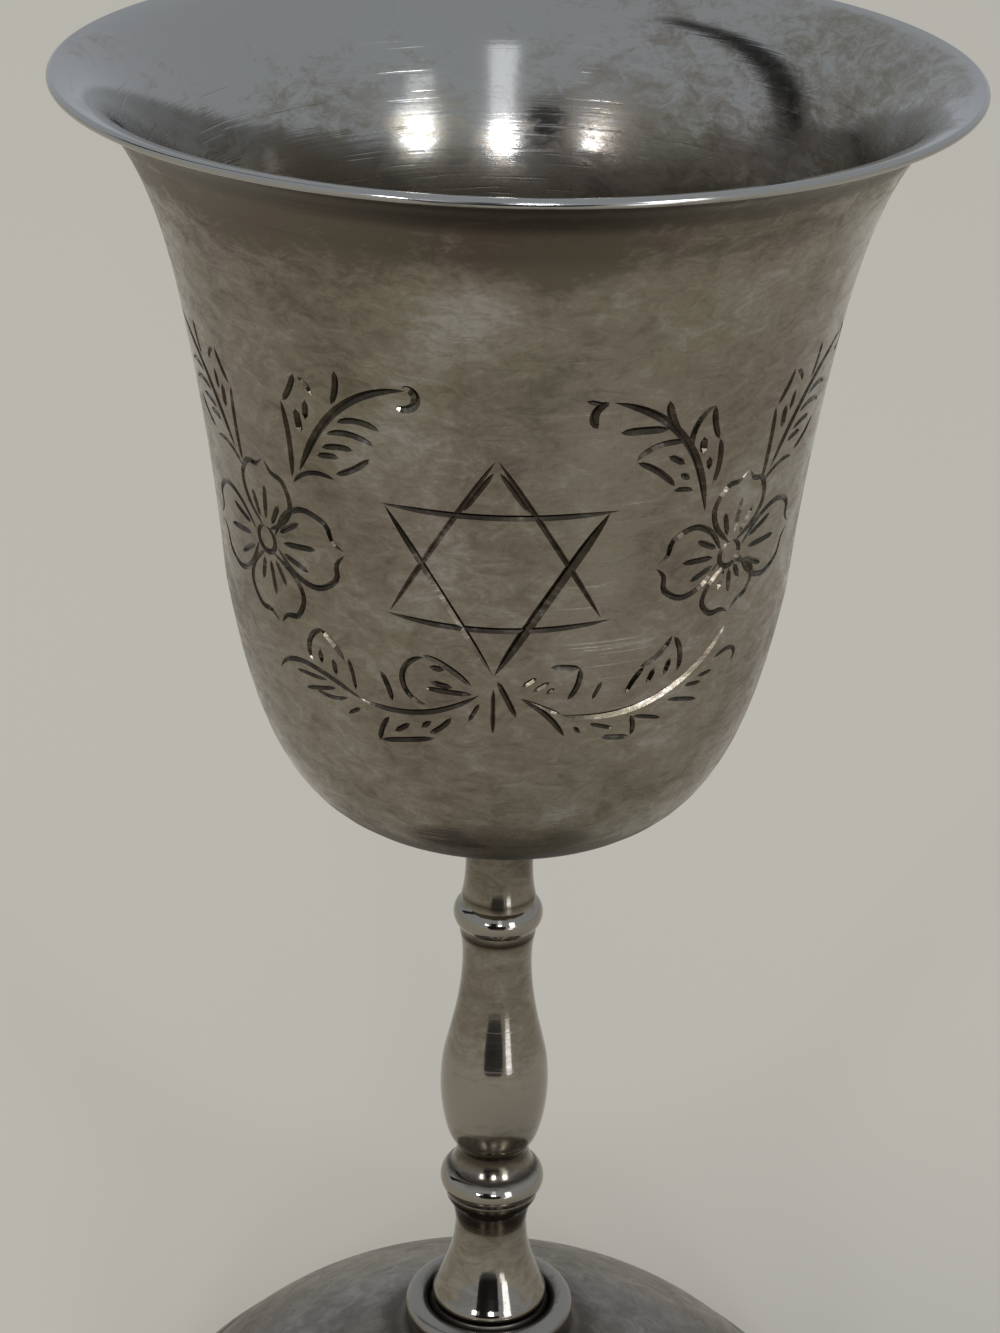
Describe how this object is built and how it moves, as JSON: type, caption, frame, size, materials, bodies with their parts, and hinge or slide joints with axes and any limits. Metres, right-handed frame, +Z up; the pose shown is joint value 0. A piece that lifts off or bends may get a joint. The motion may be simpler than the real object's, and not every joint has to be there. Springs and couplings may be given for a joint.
{
  "type": "kiddush cup",
  "caption": "Stemmed silver-plated kiddush cup: flared engraved bowl with a Star of David and floral sprays, turned baluster stem and domed round foot.",
  "frame": {"origin": "centre of the foot's resting ring, on the surface that the cup stands on", "axes": "+Z up the cup's axis, from the foot to the mouth; the engraved star faces -Y"},
  "size_m": [0.08, 0.08, 0.1477],
  "materials": {
    "bowl_plate": "silver plate over brass, semi-gloss, mottled with warm grey tarnish, engraved lines dark",
    "stem_plate": "silver plate over brass, polished by handling, tarnish left in the necks",
    "foot_plate": "silver plate over brass, satin, even grey-brown tarnish with fine scratches"
  },
  "bodies": {
    "root": {"bowl": "bowl_plate", "stem": "stem_plate", "foot": "foot_plate"}
  },
  "joints": []
}
